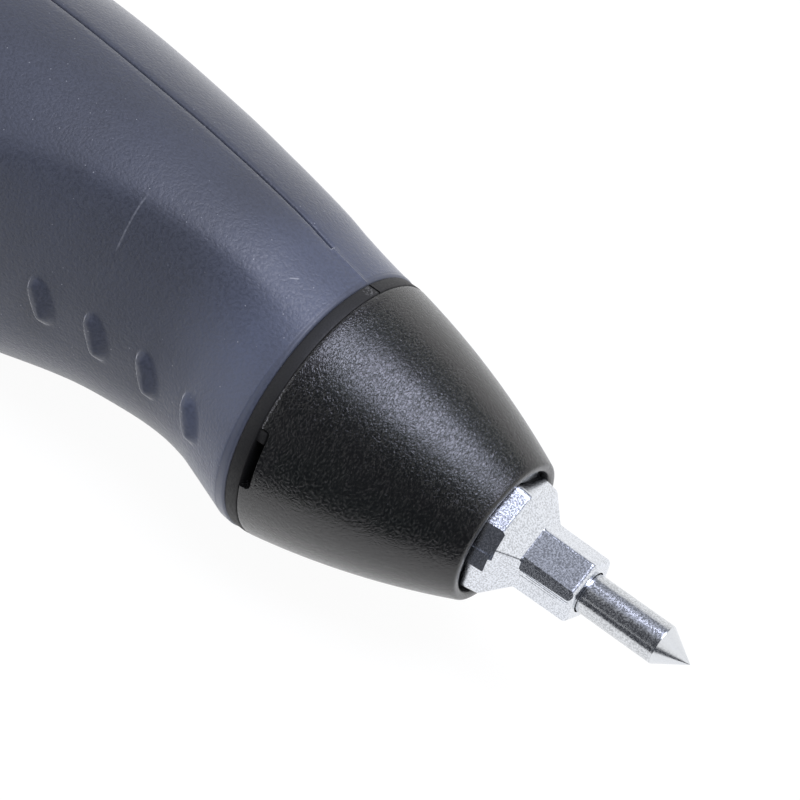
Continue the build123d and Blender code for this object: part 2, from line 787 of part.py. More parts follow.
# Leads: each one leaves a pin or blade along the axis, climbs, passes over the wheel and drops to its cap
lead_rise = lead_over_wheel - pin_height
drop_start = rear_rib_rear - lead_radius
drop_end = cap_front + lead_straight
blade_front_x = switch_front - blade_front
blade_rear_x = switch_front - blade_rear - blade_thickness
with BuildPart() as coil_to_switch_lead:
    lead(
        [
            (pin_rear, -lead_side, pin_height),
            (pin_rear - lead_straight, -lead_side, pin_height),
            (blade_front_x + lead_straight, -lead_side, blade_z),
            (blade_front_x, -lead_side, blade_z),
        ],
        lead_bend,
    )
coil_to_switch_lead.part.label = "coil_to_switch_lead"
export_step(coil_to_switch_lead.part, "parts/coil_to_switch_lead.step")

with BuildPart() as switch_to_splice_lead:
    climb = blade_rear_x - lead_straight
    lead(
        [
            (blade_rear_x, -lead_side, blade_z),
            (climb, -lead_side, blade_z),
            (climb - (lead_over_wheel - blade_z), -lead_side, lead_over_wheel),
            (drop_start, -lead_side, lead_over_wheel),
            (drop_end, -lead_side, cap_height),
            (cap_front, -lead_side, cap_height),
        ],
        lead_bend,
    )
switch_to_splice_lead.part.label = "switch_to_splice_lead"
export_step(switch_to_splice_lead.part, "parts/switch_to_splice_lead.step")

with BuildPart() as coil_to_splice_lead:
    climb = pin_rear - lead_rise / 2
    lead(
        [
            (pin_rear, lead_side, pin_height),
            (climb, lead_side, pin_height),
            (climb - lead_rise, lead_side, lead_over_wheel),
            (drop_start, lead_side, lead_over_wheel),
            (drop_end, lead_side, cap_height),
            (cap_front, lead_side, cap_height),
        ],
        lead_bend,
    )
coil_to_splice_lead.part.label = "coil_to_splice_lead"
export_step(coil_to_splice_lead.part, "parts/coil_to_splice_lead.step")

# Crimp caps at the ends of the two long leads
with BuildPart() as splice_caps:
    with BuildSketch(across(cap_front)) as cap_ends:
        with Locations((-lead_side, cap_height), (lead_side, cap_height)):
            Circle(cap_radius)
    extrude(cap_ends.sketch, amount=-cap_length)
splice_caps.part.label = "splice_caps"
export_step(splice_caps.part, "parts/splice_caps.step")

# Rubber bush in the rear wall, bored for the cord
with BuildPart() as cord_inlet_bush:
    bush_inner = rear_x + rear_wall
    disc(rear_x, rear_x - bush_flange_width, bush_flange_radius)
    disc(bush_inner, rear_x, bush_neck_radius)
    disc(bush_inner + bush_flange_width, bush_inner, bush_flange_radius)
    disc(bush_inner + bush_flange_width, rear_x - bush_flange_width, cord_radius, mode=cut)
cord_inlet_bush.part.label = "cord_inlet_bush"
export_step(cord_inlet_bush.part, "parts/cord_inlet_bush.step")

# Clamp bar for the cord, with its two screws
bar_outside = -clamp_split - clamp_thickness
with BuildPart() as cord_clamp:
    block(clamp_front, clamp_rear, bar_outside, -clamp_split, -clamp_reach, clamp_reach)
    disc(clamp_front, clamp_rear, cord_radius, mode=cut)
    cross_pins(clamp_places, clamp_screw_radius, bar_outside, -clamp_split, mode=cut)
cord_clamp.part.label = "cord_clamp"
export_step(cord_clamp.part, "parts/cord_clamp.step")

with BuildPart() as cord_clamp_screws:
    cross_pins(clamp_places, clamp_screw_radius, bar_outside, clamp_screw_grip)
    cross_pins(clamp_places, clamp_head_radius, bar_outside - clamp_head_height, bar_outside)
cord_clamp_screws.part.label = "cord_clamp_screws"
export_step(cord_clamp_screws.part, "parts/cord_clamp_screws.step")

# Housing screws, driven from the right
with BuildPart() as housing_screws:
    cross_pins(screw_places, screw_radius, screw_seat - screw_length, screw_seat)
    cross_pins(screw_places, screw_head_radius, screw_seat, screw_seat + screw_head_height)
    with BuildSketch(Plane.XZ.offset(-screw_seat - screw_head_height)) as drives:
        with Locations(*screw_places):
            Rectangle(drive_span, drive_width)
            Rectangle(drive_width, drive_span)
    extrude(drives.sketch, amount=drive_depth, mode=cut)
housing_screws.part.label = "housing_screws"
export_step(housing_screws.part, "parts/housing_screws.step")
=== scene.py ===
import bpy
import json
from math import atan2, cos, pi, radians, sin, sqrt, tan
from mathutils import Matrix, Vector


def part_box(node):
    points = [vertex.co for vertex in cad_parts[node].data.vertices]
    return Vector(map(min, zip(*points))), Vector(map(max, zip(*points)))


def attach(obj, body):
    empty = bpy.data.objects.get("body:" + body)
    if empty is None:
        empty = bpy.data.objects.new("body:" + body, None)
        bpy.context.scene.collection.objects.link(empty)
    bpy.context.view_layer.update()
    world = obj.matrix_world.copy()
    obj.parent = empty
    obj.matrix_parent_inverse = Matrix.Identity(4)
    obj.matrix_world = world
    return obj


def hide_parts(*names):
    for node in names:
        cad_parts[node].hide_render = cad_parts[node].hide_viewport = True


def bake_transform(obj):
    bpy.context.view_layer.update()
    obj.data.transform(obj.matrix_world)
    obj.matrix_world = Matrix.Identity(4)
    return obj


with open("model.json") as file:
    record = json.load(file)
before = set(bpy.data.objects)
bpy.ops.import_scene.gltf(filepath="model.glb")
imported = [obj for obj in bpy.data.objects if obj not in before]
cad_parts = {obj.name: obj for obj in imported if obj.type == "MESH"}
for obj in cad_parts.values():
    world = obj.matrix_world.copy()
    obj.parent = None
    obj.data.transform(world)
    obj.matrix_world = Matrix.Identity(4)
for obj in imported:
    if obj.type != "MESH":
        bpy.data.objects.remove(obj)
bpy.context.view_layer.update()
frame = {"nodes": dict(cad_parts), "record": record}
mm = 0.001

# Camera at the photograph's angle, placed by where the nose lip's middle shows
photoView = {
    "toCamera": (0.338, -0.76, 0.555),
    "distance": 240 * mm,
    "lipMiddle": (-9.6 * mm, 0, 0),
    "lipPixel": (504.9, 532.8),
    "axisDrop": 35.1,            # degrees below level, to the right
    "pixelsPerMetre": 10988,
    "imageSize": 800,
    "sensor": 36,
    "clip": (10 * mm, 20),
}


def placeCamera(view):
    back = Vector(view["toCamera"]).normalized()
    along = Vector((1, 0, 0)) - back.x * back
    along.normalize()
    beside = back.cross(along)
    drop = radians(view["axisDrop"])
    right = cos(drop) * along + sin(drop) * beside
    up = cos(drop) * beside - sin(drop) * along
    scale = view["pixelsPerMetre"]
    middle = view["imageSize"] / 2
    offRight = (view["lipPixel"][0] - middle) / scale
    offDown = (view["lipPixel"][1] - middle) / scale
    target = Vector(view["lipMiddle"]) - right * offRight + up * offDown
    spot = target + back * view["distance"]
    data = bpy.data.cameras.new("photoCamera")
    data.sensor_width = view["sensor"]
    data.lens = view["sensor"] * view["distance"] * scale / view["imageSize"]
    data.clip_start, data.clip_end = view["clip"]
    camera = bpy.data.objects.new("photoCamera", data)
    bpy.context.scene.collection.objects.link(camera)
    turn = Matrix((right, up, back)).transposed().to_4x4()
    camera.matrix_world = Matrix.Translation(spot) @ turn
    bpy.context.scene.camera = camera


placeCamera(photoView)
print("camera placed")


# Socket of a shader tree that can be used in sums
class Value:
    def __init__(self, finish, socket):
        self.finish = finish
        self.socket = socket

    def maths(self, operation, first, second):
        return self.finish.node("ShaderNodeMath", {"operation": operation}, {0: first, 1: second})

    def __add__(self, other):
        return self.maths("ADD", self, other)

    def __radd__(self, other):
        return self.maths("ADD", other, self)

    def __sub__(self, other):
        return self.maths("SUBTRACT", self, other)

    def __rsub__(self, other):
        return self.maths("SUBTRACT", other, self)

    def __mul__(self, other):
        return self.maths("MULTIPLY", self, other)

    def __rmul__(self, other):
        return self.maths("MULTIPLY", other, self)

    def __truediv__(self, other):
        return self.maths("DIVIDE", self, other)

    def __rtruediv__(self, other):
        return self.maths("DIVIDE", other, self)


# Shader tree of a material or of the sky, to which nodes are added one by one
class Finish:
    def __init__(self, owner):
        owner.use_nodes = True
        self.owner = owner
        self.tree = owner.node_tree

    def feed(self, socket, value):
        if isinstance(value, Value):
            self.tree.links.new(value.socket, socket)
        else:
            socket.default_value = value

    def node(self, kind, settings, sockets, out=0):
        made = self.tree.nodes.new(kind)
        for key, value in settings.items():
            setattr(made, key, value)
        for key, value in sockets.items():
            self.feed(made.inputs[key], value)
        return Value(self, made.outputs[out])

    # Set up the shader that the tree came with
    def shader(self, name, sockets):
        came = self.tree.nodes[name]
        for key, value in sockets.items():
            self.feed(came.inputs[key], value)
        return Value(self, came.outputs[0])

    def surface(self, sockets):
        return self.shader("Principled BSDF", sockets)

    def show(self, shader):
        self.feed(self.tree.get_output_node("ALL").inputs["Surface"], shader)


def newFinish(name):
    return Finish(bpy.data.materials.new(name))


# Stage: pale floor that stays white to the camera and keeps a soft shadow
stageLook = {
    "floorHeight": -16.5 * mm,
    "floorGap": 0.02 * mm,
    "floorSize": 8,
    "paper": (0.9, 0.9, 0.9, 1),
    "paperRough": 0.9,
    "whiteShare": 0.92,
    "whiteLevel": 1.03,
    "sky": (1, 1, 1, 1),
    "skyLevel": 0.68,
}


def deselectAll():
    bpy.ops.object.select_all(action="DESELECT")


# One for the rays that see the white background
def whiteRays(finish):
    rays = ("Is Camera Ray", "Is Glossy Ray", "Is Transmission Ray")
    camera, glossy, through = (finish.node("ShaderNodeLightPath", {}, {}, ray) for ray in rays)
    return camera + glossy + through


def stagePaper(look):
    paper = newFinish("stagePaper")
    plain = paper.surface({
        "Base Color": look["paper"],
        "Roughness": look["paperRough"],
        "Specular IOR Level": 0,
    })
    white = paper.node("ShaderNodeEmission", {}, {"Strength": look["whiteLevel"]})
    seen = whiteRays(paper) * look["whiteShare"]
    paper.show(paper.node("ShaderNodeMixShader", {}, {0: seen, 1: plain, 2: white}))
    return paper.owner


def makeFloor(look):
    deselectAll()
    height = look["floorHeight"] - look["floorGap"]
    bpy.ops.mesh.primitive_plane_add(size=look["floorSize"], location=(0, 0, height))
    floor = bpy.context.active_object
    floor.name = "stageFloor"
    floor.data.materials.append(stagePaper(look))


def makeSky(look):
    sky = Finish(bpy.data.worlds.new("stageSky"))
    bpy.context.scene.world = sky.owner
    light = sky.shader("Background", {"Color": look["sky"], "Strength": look["skyLevel"]})
    white = sky.node("ShaderNodeBackground", {}, {"Color": look["sky"], "Strength": 1})
    sky.show(sky.node("ShaderNodeMixShader", {}, {0: whiteRays(sky), 1: light, 2: white}))


makeFloor(stageLook)
makeSky(stageLook)

# Cards that only reflections see: dark ones on the camera's side, grey ones overhead
cardColour = (0.93, 0.97, 1.1, 1)
cards = {
    "wall": {
        "middle": (0.17, -0.78, 0.58),
        "faces": (-0.3, 0.95, 0),
        "size": (1.3, 1.2),
        "level": 0.085,
    },
    "apron": {
        "middle": (0.31, -0.396, -0.016),
        "faces": (0, 0, 1),
        "size": (0.74, 0.74),
        "level": 0.085,
    },
    "roof": {
        "middle": (-0.08, -0.03, 0.95),
        "faces": (0, 0, -1),
        "size": (1.7, 1.46),
        "level": 0.32,
    },
    "brow": {
        "middle": (0.2, 0.88, 0.95),
        "faces": (0, 0, -1),
        "size": (0.9, 0.36),
        "level": 0.22,
    },
}


def hangCard(name, look):
    card = newFinish(name)
    card.show(card.node("ShaderNodeEmission", {}, {"Color": cardColour, "Strength": look["level"]}))
    facing = Vector(look["faces"]).to_track_quat("Z", "Y")
    deselectAll()
    bpy.ops.mesh.primitive_plane_add(size=1, location=look["middle"], rotation=facing.to_euler())
    plane = bpy.context.active_object
    plane.name = name
    plane.scale = (*look["size"], 1)
    plane.data.materials.append(card.owner)
    plane.visible_camera = False
    plane.visible_diffuse = False
    plane.visible_shadow = False
    plane.visible_transmission = False


for cardName, cardLook in cards.items():
    hangCard(cardName + "Card", cardLook)

# Round soft box almost overhead, facing down
lampLook = {
    "place": (0.135, -0.12, 0.715),
    "width": 0.42,
    "depth": 0.54,
    "power": 4.7,
    "colour": (0.78, 0.81, 1.0),
}


def hangLamp(name, look):
    data = bpy.data.lights.new(name, "AREA")
    data.shape = "ELLIPSE"
    data.size = look["width"]
    data.size_y = look["depth"]
    data.energy = look["power"]
    data.color = look["colour"]
    lamp = bpy.data.objects.new(name, data)
    lamp.location = look["place"]
    lamp.visible_camera = False
    bpy.context.scene.collection.objects.link(lamp)


hangLamp("softBox", lampLook)
print("stage and lamp ready")


def pick(piece):
    deselectAll()
    piece.select_set(True)
    bpy.context.view_layer.objects.active = piece


# Edit mode on one piece, with nothing else selected
def openMesh(piece, kind="VERT"):
    pick(piece)
    bpy.ops.object.mode_set(mode="EDIT")
    bpy.ops.mesh.select_mode(type=kind)


def closeMesh():
    bpy.ops.object.mode_set(mode="OBJECT")


weldReach = 0.001 * mm


# Weld doubles and turn all faces outwards
def tidyMesh(piece):
    openMesh(piece)
    bpy.ops.mesh.select_all(action="SELECT")
    bpy.ops.mesh.remove_doubles(threshold=weldReach)
    bpy.ops.mesh.normals_make_consistent(inside=False)
    closeMesh()


def applyTool(piece, kind, settings):
    pick(piece)
    tool = piece.modifiers.new(kind.lower(), kind)
    for key, value in settings.items():
        setattr(tool, key, value)
    bpy.ops.object.modifier_apply(modifier=tool.name)


# Cut or join with helper shapes, which are then removed
def combine(piece, helpers, operation):
    for helper in helpers:
        applyTool(piece, "BOOLEAN", {"operation": operation, "object": helper, "solver": "EXACT"})
        bpy.data.objects.remove(helper)


def smoothByAngle(piece, angle):
    pick(piece)
    bpy.ops.object.shade_smooth_by_angle(angle=radians(angle))


# Arc through three points of an outline
def arcThrough(start, through, end, steps):
    (ax, ay), (bx, by), (cx, cy) = start, through, end
    double = 2 * (ax * (by - cy) + bx * (cy - ay) + cx * (ay - by))
    aa, bb, cc = ax * ax + ay * ay, bx * bx + by * by, cx * cx + cy * cy
    mx = (aa * (by - cy) + bb * (cy - ay) + cc * (ay - by)) / double
    my = (aa * (cx - bx) + bb * (ax - cx) + cc * (bx - ax)) / double
    radius = sqrt((ax - mx) ** 2 + (ay - my) ** 2)
    first = atan2(ay - my, ax - mx)
    turn = atan2(cy - my, cx - mx) - first
    turn = (turn + pi) % (2 * pi) - pi
    angles = [first + turn * step / steps for step in range(steps + 1)]
    return [(mx + radius * cos(angle), my + radius * sin(angle)) for angle in angles]


# Round from one angle to another, in degrees
def corner(middle, radius, start, end, steps):
    angles = [radians(start + (end - start) * step / steps) for step in range(steps + 1)]
    return [(middle[0] + radius * cos(angle), middle[1] + radius * sin(angle)) for angle in angles]


# Turned piece: an outline of (x, radius) in millimetres, extruded point by point and spun round the axis
def turnedPiece(name, outline, steps):
    deselectAll()
    bpy.ops.mesh.primitive_plane_add(size=mm)
    piece = bpy.context.active_object
    piece.name = name
    openMesh(piece)
    bpy.ops.mesh.select_all(action="SELECT")
    bpy.ops.mesh.merge(type="CENTER")
    bpy.ops.transform.translate(value=(outline[0][0] * mm, 0, outline[0][1] * mm))
    for before, after in zip(outline, outline[1:]):
        step = ((after[0] - before[0]) * mm, 0, (after[1] - before[1]) * mm)
        bpy.ops.mesh.extrude_vertices_move(TRANSFORM_OT_translate={"value": step})
    bpy.ops.mesh.select_all(action="SELECT")
    bpy.ops.mesh.spin(steps=steps, angle=2 * pi, center=(0, 0, 0), axis=(1, 0, 0))
    closeMesh()
    tidyMesh(piece)
    return piece


# Straight bar along the tool axis, as a helper for cuts
def axisBar(radius, front, rear, sides=96):
    deselectAll()
    bpy.ops.mesh.primitive_cylinder_add(
        vertices=sides,
        radius=radius * mm,
        depth=(front - rear) * mm,
        location=((front + rear) / 2 * mm, 0, 0),
        rotation=(0, pi / 2, 0),
    )
    return bpy.context.active_object


def boxBetween(low, high):
    deselectAll()
    middle = [(a + b) / 2 * mm for a, b in zip(low, high)]
    bpy.ops.mesh.primitive_cube_add(size=1, location=middle)
    box = bpy.context.active_object
    box.scale = [(b - a) * mm for a, b in zip(low, high)]
    bpy.ops.object.transform_apply(location=False, rotation=False, scale=True)
    return box


# Put a finished piece in the assembly
def mount(piece, body, nodes, material):
    pick(piece)
    bpy.ops.object.transform_apply(location=True, rotation=True, scale=True)
    piece.data.materials.clear()
    piece.data.materials.append(material)
    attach(piece, body)
    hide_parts(*nodes)
    print(piece.name, "made,", len(piece.data.polygons), "faces")


# Textures in object space, with sizes in millimetres
def objectPlace(finish):
    return finish.node("ShaderNodeTexCoord", {}, {}, "Object")


def axisPlace(finish, place):
    split = finish.node("ShaderNodeSeparateXYZ", {}, {0: place}).socket.node
    return [Value(finish, output) / mm for output in split.outputs]


def noise(finish, place, size, detail=2):
    sockets = {"Vector": place, "Scale": 1 / (size * mm), "Detail": detail}
    return finish.node("ShaderNodeTexNoise", {}, sockets)


# Noise with a size of its own along each axis
def longNoise(finish, place, sizes, detail=2, distortion=0):
    scale = [1 / (size * mm) for size in sizes]
    spread = finish.node("ShaderNodeVectorMath", {"operation": "MULTIPLY"}, {0: place, 1: scale})
    sockets = {"Vector": spread, "Scale": 1, "Detail": detail, "Distortion": distortion}
    return finish.node("ShaderNodeTexNoise", {}, sockets)


def ramp(finish, value, low, high, start=0, end=1):
    sockets = {"Value": value, "From Min": low, "From Max": high, "To Min": start, "To Max": end}
    return finish.node("ShaderNodeMapRange", {"interpolation_type": "SMOOTHSTEP"}, sockets)


def apart(finish, value, middle):
    return finish.node("ShaderNodeMath", {"operation": "ABSOLUTE"}, {0: value - middle})


def mixColour(finish, share, first, second):
    sockets = {0: share, 6: first, 7: second}
    return finish.node("ShaderNodeMix", {"data_type": "RGBA"}, sockets, 2)


def bump(finish, height, depth):
    return finish.node("ShaderNodeBump", {}, {"Height": height, "Distance": depth * mm, "Strength": 1})


# Share that is one inside a span along an axis and fades out over a soft border
def span(finish, value, middle, half, soft):
    return ramp(finish, apart(finish, value, middle), half, half + soft, 1, 0)


# Sparse specks of dust with a soft edge
def specks(finish, place, cell, radius, soft=0.4):
    sockets = {"Vector": place, "Scale": 1 / (cell * mm)}
    nearest = finish.node("ShaderNodeTexVoronoi", {}, sockets, "Distance")
    share = radius / cell
    return ramp(finish, nearest, (1 - soft) * share, (1 + soft) * share, 1, 0)


slotColours = {entry["slot"]: (*entry["base_color"], 1) for entry in frame["record"]["materials"]}


def tinted(colour, tint):
    return (*(part * share for part, share in zip(colour, tint)), 1)


# A colour between a dark and a light shade of itself
def mottled(finish, share, colour, shades):
    dark, light = (tinted(colour, (level, level, level)) for level in shades)
    return mixColour(finish, share, dark, light)


wideFade = (0.3, 0.7)            # noise values between which a pattern fades in
midFade = (0.35, 0.65)
upperSide = (10, 11)             # heights between which marks on the upper side fade in

# Satin housing: fine spark-eroded grain, dust, a faint witness line and small scuffs, with painted light
# towards the front and painted shade on the land along the front edge
housingFinish = {
    "tint": (0.94, 1.0, 1.25),
    "shades": (0.66, 0.98),
    # painted light: the colour grows lighter from the grip towards the front flare
    "paintedLightTowardsFront": (-45, -33, 0.42, 0.8),
    # land along the front edge: edge, lean, and the level of painted shade on it; its grain is also made
    # finer
    "land": (-32.2, 0.03, 0.8),
    "landSoft": 0.1,
    "landGrain": 0.2,
    "cloud": 9,
    "cloudShare": 0.45,
    "grain": 0.28,
    "coarse": 0.616,
    "coarseShare": 0.6,
    "grainDepth": 0.045,
    "rough": (0.43, 0.58),
    "shine": 0.8,
    "sheen": 0.9,
    "sheenRough": 0.35,
    "dustCell": 1.15,
    "dustRadius": 0.055,
    "dustShare": 0.75,
    "dust": (0.3, 0.31, 0.34, 1),
    # Marks: middle, half length and soft border in each direction, and strength
    "witness": ((-50.4, 0.03, 0.1), (12.4, 2.0, 1.2), 0.7),
    "tick": ((-35.85, 0.05, 0.05), (0, 0.3, 0.1), 0.5),
    "scuff": ((0, 0.25, 0.2), (0, 0.03, 0.05), 0.7),
    "scuffPlace": (-35.6, 7.85),
    "scuffUp": (0.59, 0.807),
    "scuffLean": (0.82, 0.58),
    "mark": (0.2, 0.21, 0.24, 1),
}


def finishHousing(look):
    finish = newFinish("housingPlastic")
    place = objectPlace(finish)
    x, y, z = axisPlace(finish, place)
    cloud = noise(finish, place, look["cloud"])
    grain = noise(finish, place, look["grain"])
    coarse = noise(finish, place, look["coarse"])
    cloudy = look["cloudShare"] * ramp(finish, cloud, *wideFade)
    share = cloudy + (1 - look["cloudShare"]) * ramp(finish, grain, *midFade)
    base = mottled(finish, share, tinted(slotColours["housing_plastic"], look["tint"]), look["shades"])
    # painted shade on the land along the front edge, where the grain is also finer
    landEdge, landLean, landPaintedShade = look["land"]
    land = ramp(finish, x - landLean * z, landEdge - look["landSoft"], landEdge + look["landSoft"])
    # painted light lightens the colour towards the front, and painted shade darkens it on the land along the
    # front edge
    level = ramp(finish, x, *look["paintedLightTowardsFront"]) * (1 - (1 - landPaintedShade) * land)
    base = finish.node("ShaderNodeVectorMath", {"operation": "SCALE"}, {0: base, "Scale": level})
    along, across, strength = look["tick"]
    tick = span(finish, x, *along) * span(finish, y, *across) * ramp(finish, z, *upperSide)
    base = mixColour(finish, tick * strength, base, look["mark"])
    along, across, strength = look["witness"]
    witness = span(finish, x, *along) * span(finish, z, *across)
    base = mixColour(finish, witness * grain * strength, base, look["mark"])
    along, across, strength = look["scuff"]
    upY, upZ = look["scuffUp"]
    leanBack, leanUp = look["scuffLean"]
    back = x - look["scuffPlace"][0]
    up = upY * y + upZ * z - look["scuffPlace"][1]
    scuff = span(finish, leanBack * back + leanUp * up, *along)
    scuff = scuff * span(finish, leanBack * up - leanUp * back, *across)
    base = mixColour(finish, scuff * strength, base, look["dust"])
    dust = specks(finish, place, look["dustCell"], look["dustRadius"])
    relief = (1 - (1 - look["landGrain"]) * land) * (grain + look["coarseShare"] * coarse)
    finish.surface({
        "Base Color": mixColour(finish, dust * look["dustShare"], base, look["dust"]),
        "Specular IOR Level": look["shine"],
        "Sheen Weight": look["sheen"],
        "Sheen Roughness": look["sheenRough"],
        "Roughness": ramp(finish, grain, *wideFade, *look["rough"]),
        "Normal": bump(finish, relief, look["grainDepth"]),
    })
    return finish.owner


# Leathery nose: short curved ridges, longer round the cone than along it, and a worn rear edge
noseFinish = {
    "shades": (0.15, 0.3),
    "cloud": 5,
    "ridge": (0.2, 0.36, 0.36),
    "ridgeDetail": 1.5,
    "ridgeCurl": 0.6,
    "ridgeWidth": 0.22,
    "ridgeDepth": 0.022,
    "rough": (0.19, 0.25),
    "shine": 0.72,
    "sheen": 0.2,
    "sheenRough": 0.35,
    "wear": (0.16, 0.16, 0.17, 1),
    "wearAlong": (-29.75, 0.08, 0.12),
    "wearUp": (3.2, 4.5, 1.5),
    "crumb": 0.16,
    "crumbFade": (0.55, 0.62),
    "dustCell": 2.6,
    "dustRadius": 0.06,
    "dustShare": 0.6,
}


def finishNose(look):
    finish = newFinish("nosePlastic")
    place = objectPlace(finish)
    x, y, z = axisPlace(finish, place)
    ridges = longNoise(finish, place, look["ridge"], look["ridgeDetail"], look["ridgeCurl"])
    worm = ramp(finish, apart(finish, ridges, 0.5), 0, look["ridgeWidth"], 1, 0)
    cloud = noise(finish, place, look["cloud"])
    base = mottled(finish, cloud, slotColours["nose_plastic"], look["shades"])
    crumbs = ramp(finish, noise(finish, place, look["crumb"]), *look["crumbFade"])
    wear = span(finish, x, *look["wearAlong"]) * span(finish, z, *look["wearUp"]) * crumbs
    dust = specks(finish, place, look["dustCell"], look["dustRadius"])
    near = ramp(finish, y, 0, 1, 1, 0)
    finish.surface({
        "Base Color": mixColour(finish, wear * near + dust * look["dustShare"], base, look["wear"]),
        "Specular IOR Level": look["shine"],
        "Sheen Weight": look["sheen"],
        "Sheen Roughness": look["sheenRough"],
        "Roughness": ramp(finish, worm, 0, 1, *look["rough"]),
        "Normal": bump(finish, worm, look["ridgeDepth"]),
    })
    return finish.owner


# Matte collar with a rough moulding pip beside the seam
collarFinish = {
    "shades": (0.42, 0.75),
    "cloud": 3,
    "shine": 0.48,
    "grain": 0.18,
    "grainDepth": 0.012,
    "rough": (0.5, 0.68),
    "pipAcross": (-0.75, 0.4, 0.3),
    "pipAlong": (-30.6, 0.45, 0.2),
    "pipHeight": 4,
    "pipShade": (0.09, 0.09, 0.09, 1),
    "crumb": 0.22,
    "crumbFade": (0.5, 0.6),
}


def finishCollar(look):
    finish = newFinish("collarPlastic")
    place = objectPlace(finish)
    x, y, z = axisPlace(finish, place)
    grain = noise(finish, place, look["grain"])
    cloud = noise(finish, place, look["cloud"])
    base = mottled(finish, cloud, slotColours["collar_plastic"], look["shades"])
    crumbs = ramp(finish, noise(finish, place, look["crumb"]), *look["crumbFade"])
    pip = span(finish, x, *look["pipAlong"]) * span(finish, y, *look["pipAcross"])
    pip = pip * ramp(finish, z, *upperSide)
    finish.surface({
        "Base Color": mixColour(finish, pip * crumbs, base, look["pipShade"]),
        "Specular IOR Level": look["shine"],
        "Roughness": ramp(finish, grain, *wideFade, *look["rough"]),
        "Normal": bump(finish, grain + look["pipHeight"] * pip * crumbs, look["grainDepth"]),
    })
    return finish.owner


# Frosty die-cast metal: fine crystals over shallow dents, greyer in the hollows
castFinish = {
    "tint": (0.97, 0.99, 1.04),
    "shades": (0.78, 1.18),
    "crystal": 0.16,
    "crystalDetail": 3,
    "crystalFade": (0.36, 0.6),
    "dent": 0.9,
    "dentShare": 0.8,
    "depth": 0.004,
    "rough": (0.16, 0.26),
}


def finishCast(look):
    finish = newFinish("dieCast")
    place = objectPlace(finish)
    crystal = noise(finish, place, look["crystal"], look["crystalDetail"])
    dent = noise(finish, place, look["dent"])
    frost = ramp(finish, crystal, *look["crystalFade"])
    finish.surface({
        "Base Color": mottled(finish, frost, tinted(slotColours["die_cast"], look["tint"]), look["shades"]),
        "Metallic": 1,
        "Roughness": ramp(finish, crystal, *midFade, *look["rough"]),
        "Normal": bump(finish, crystal + look["dentShare"] * dent, look["depth"]),
    })
    return finish.owner


# Engraving point: rough mottled shank, ground cone with fine rings
pointFinish = {
    "tint": (0.93, 0.97, 1.06),
    "shades": (0.86, 1.32),
    "coneShade": 1.3,
    "mottle": 0.17,
    "mottleDetail": 3,
    "mottleFade": (0.38, 0.6),
    "depth": 0.004,
    "rough": (0.16, 0.26),
    "coneStart": (8.2, 8.3),
    "ring": (0.05, 2, 2),
    "ringShare": 0.3,
}


def finishPoint(look):
    finish = newFinish("toolSteel")
    place = objectPlace(finish)
    x, y, z = axisPlace(finish, place)
    colour = tinted(slotColours["tool_steel"], look["tint"])
    mottle = noise(finish, place, look["mottle"], look["mottleDetail"])
    rings = longNoise(finish, place, look["ring"])
    shank = ramp(finish, x, *look["coneStart"], 1, 0)
    base = mottled(finish, ramp(finish, mottle, *look["mottleFade"]), colour, look["shades"])
    cone = tinted(colour, [look["coneShade"]] * 3)
    finish.surface({
        "Base Color": mixColour(finish, shank, cone, base),
        "Metallic": 1,
        "Roughness": ramp(finish, mottle, *midFade, *look["rough"]),
        "Normal": bump(finish, mottle * shank + look["ringShare"] * rings * (1 - shank), look["depth"]),
    })
    return finish.owner


# Finishes of the pieces that stay as they come: metallic or not, grain size and depth, roughness
plainLooks = {
    "plain_steel": {"metal": 1, "grain": 0.3, "depth": 0.004, "rough": (0.2, 0.36)},
    "soft_iron": {"metal": 1, "grain": 0.4, "depth": 0.01, "rough": (0.35, 0.55)},
    "bronze": {"metal": 1, "grain": 0.2, "depth": 0.012, "rough": (0.35, 0.5)},
    "copper": {"metal": 1, "grain": 0.35, "depth": 0.03, "rough": (0.22, 0.35)},
    "tinned_brass": {"metal": 1, "grain": 0.4, "depth": 0.004, "rough": (0.22, 0.34)},
    "zinc_screw": {"metal": 1, "grain": 0.25, "depth": 0.006, "rough": (0.24, 0.4)},
    "black_rubber": {"metal": 0, "grain": 0.25, "depth": 0.015, "rough": (0.62, 0.8)},
    "bobbin_plastic": {"metal": 0, "grain": 0.4, "depth": 0.006, "rough": (0.4, 0.52)},
    "wheel_plastic": {"metal": 0, "grain": 0.25, "depth": 0.014, "rough": (0.42, 0.58)},
    "slider_plastic": {"metal": 0, "grain": 0.25, "depth": 0.014, "rough": (0.42, 0.58)},
    "switch_plastic": {"metal": 0, "grain": 0.4, "depth": 0.004, "rough": (0.25, 0.35)},
    "clamp_plastic": {"metal": 0, "grain": 0.3, "depth": 0.01, "rough": (0.4, 0.55)},
    "lead_brown": {"metal": 0, "grain": 0.5, "depth": 0.006, "rough": (0.4, 0.5)},
    "lead_blue": {"metal": 0, "grain": 0.5, "depth": 0.006, "rough": (0.4, 0.5)},
    "cap_plastic": {"metal": 0, "grain": 0.4, "depth": 0.006, "rough": (0.3, 0.42)},
}
plainMottle = {
    "shades": (0.8, 1.1),
    "cloud": 4,
    "cloudShare": 0.6,
}


def finishPlain(slot, look, mottle):
    finish = newFinish(slot + "Finish")
    place = objectPlace(finish)
    grain = noise(finish, place, look["grain"])
    cloud = ramp(finish, noise(finish, place, mottle["cloud"]), *wideFade)
    share = cloud * mottle["cloudShare"] + grain * (1 - mottle["cloudShare"])
    finish.surface({
        "Base Color": mottled(finish, share, slotColours[slot], mottle["shades"]),
        "Metallic": look["metal"],
        "Roughness": ramp(finish, grain, *wideFade, *look["rough"]),
        "Normal": bump(finish, grain, look["depth"]),
    })
    return finish.owner


